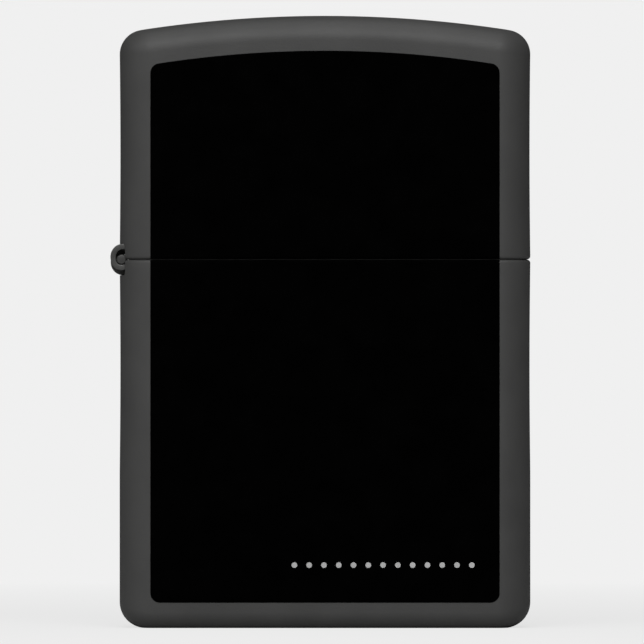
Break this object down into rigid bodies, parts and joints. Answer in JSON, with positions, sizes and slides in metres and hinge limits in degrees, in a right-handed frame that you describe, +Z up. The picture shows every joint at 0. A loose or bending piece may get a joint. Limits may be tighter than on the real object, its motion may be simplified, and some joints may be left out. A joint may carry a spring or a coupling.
{
  "type": "pocket lighter",
  "caption": "Flip-top metal pocket lighter with a side-hinged lid, a lift-out burner insert with windguard and flint wheel, and a matte black printed front panel.",
  "frame": {"origin": "centre of the case's base, on the surface it stands on", "axes": "+Z up, +X to the right seen from the front, front face towards -Y, lid hinge on the -X side with its pin along Y"},
  "size_m": [0.0392, 0.0131, 0.0572],
  "materials": {
    "case_paint": "fine matte powder paint, charcoal grey",
    "panel_ink": "dead-matte black print",
    "dot_ink": "light grey print",
    "hinge_steel": "darkened sheet steel",
    "pin_steel": "drawn steel wire",
    "insert_steel": "satin stainless sheet",
    "spring_steel": "bright spring steel",
    "wheel_steel": "hardened, cut teeth",
    "flint_metal": "dull grey ferrocerium",
    "brass": "turned brass",
    "wick_cotton": "braided cotton with a scorched tip",
    "cotton": "loose cotton wool",
    "felt": "pressed felt"
  },
  "bodies": {
    "case": {"case_bottom": "case_paint", "hinge_leaf_case": "hinge_steel", "hinge_pin": "pin_steel", "print_panel_case": "panel_ink", "print_dots": "dot_ink"},
    "lid": {"case_lid": "case_paint", "hinge_leaf_lid": "hinge_steel", "print_panel_lid": "panel_ink"},
    "insert": {"insert_can": "insert_steel", "top_plate": "insert_steel", "windguard": "insert_steel", "flint_tube": "brass", "wheel_rivet": "insert_steel", "cam_rivet": "insert_steel", "cam_spring": "spring_steel", "cam_spring_rivet": "insert_steel", "flint_spring": "spring_steel", "flint_screw": "brass", "wick": "wick_cotton", "cotton_1": "cotton", "cotton_2": "cotton", "cotton_3": "cotton", "cotton_4": "cotton", "cotton_5": "cotton", "felt_pad": "felt"},
    "cam": {"cam": "insert_steel"},
    "wheel": {"flint_wheel": "wheel_steel"},
    "flint": {"flint": "flint_metal", "spring_tip": "brass"}
  },
  "joints": [
    {"name": "lid_hinge", "type": "hinge", "parent": "case", "child": "lid", "pos_m": [-0.019, 0, 0.03442], "axis": [0, -1, 0], "range_deg": [0, 125]},
    {"name": "insert_lift", "type": "slide", "parent": "case", "child": "insert", "axis": [0, 0, 1], "range_m": [0, 0.0015]},
    {"name": "cam_pivot", "type": "hinge", "parent": "insert", "child": "cam", "pos_m": [-0.0134, 0, 0.03762], "axis": [0, 1, 0], "range_deg": [0, 15]},
    {"name": "flint_wheel_spin", "type": "hinge", "parent": "insert", "child": "wheel", "pos_m": [0.0135, 0, 0.0437], "axis": [0, 1, 0], "continuous": true},
    {"name": "flint_feed", "type": "slide", "parent": "insert", "child": "flint", "axis": [0, 0, 1], "range_m": [-0.003, 0], "stiffness_N_per_m": 100, "springref_m": 0.006, "deforming": ["flint_spring"]}
  ],
  "couplings": [
    {"joint": "cam_pivot", "follows": "lid_hinge", "ratio": 0.12}
  ]
}
